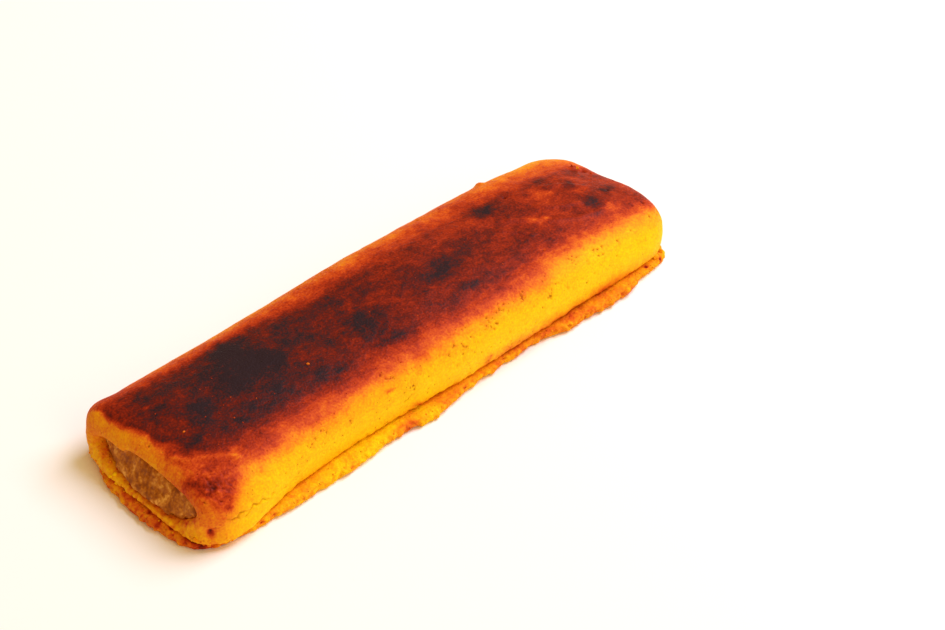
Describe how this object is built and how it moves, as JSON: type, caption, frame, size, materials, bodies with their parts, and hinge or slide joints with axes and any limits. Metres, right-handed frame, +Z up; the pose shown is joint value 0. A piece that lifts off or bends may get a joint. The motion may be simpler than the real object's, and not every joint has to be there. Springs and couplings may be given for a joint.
{
  "type": "sweet pastry roll",
  "caption": "Flat baked shortcrust bar: a browned dough cover draped over a fruit filling on a thin base sheet, with a burst slit across its front end.",
  "frame": {"origin": "centre of the plan, on the surface the roll lies on", "axes": "+X along the roll from the burst front end to the closed rear end, +Z up; the long side with the wide base ledge faces -Y"},
  "size_m": [0.1662, 0.0524, 0.0193],
  "materials": {
    "baked_crust": "egg-washed shortcrust, browned on top and golden on the sides, slight sheen",
    "fruit_filling": "moist cooked fruit paste, slightly translucent",
    "pale_crust": "pale golden shortcrust, matt and crumbly"
  },
  "bodies": {
    "root": {"cover": "baked_crust", "filling": "fruit_filling", "base": "pale_crust"}
  },
  "joints": []
}
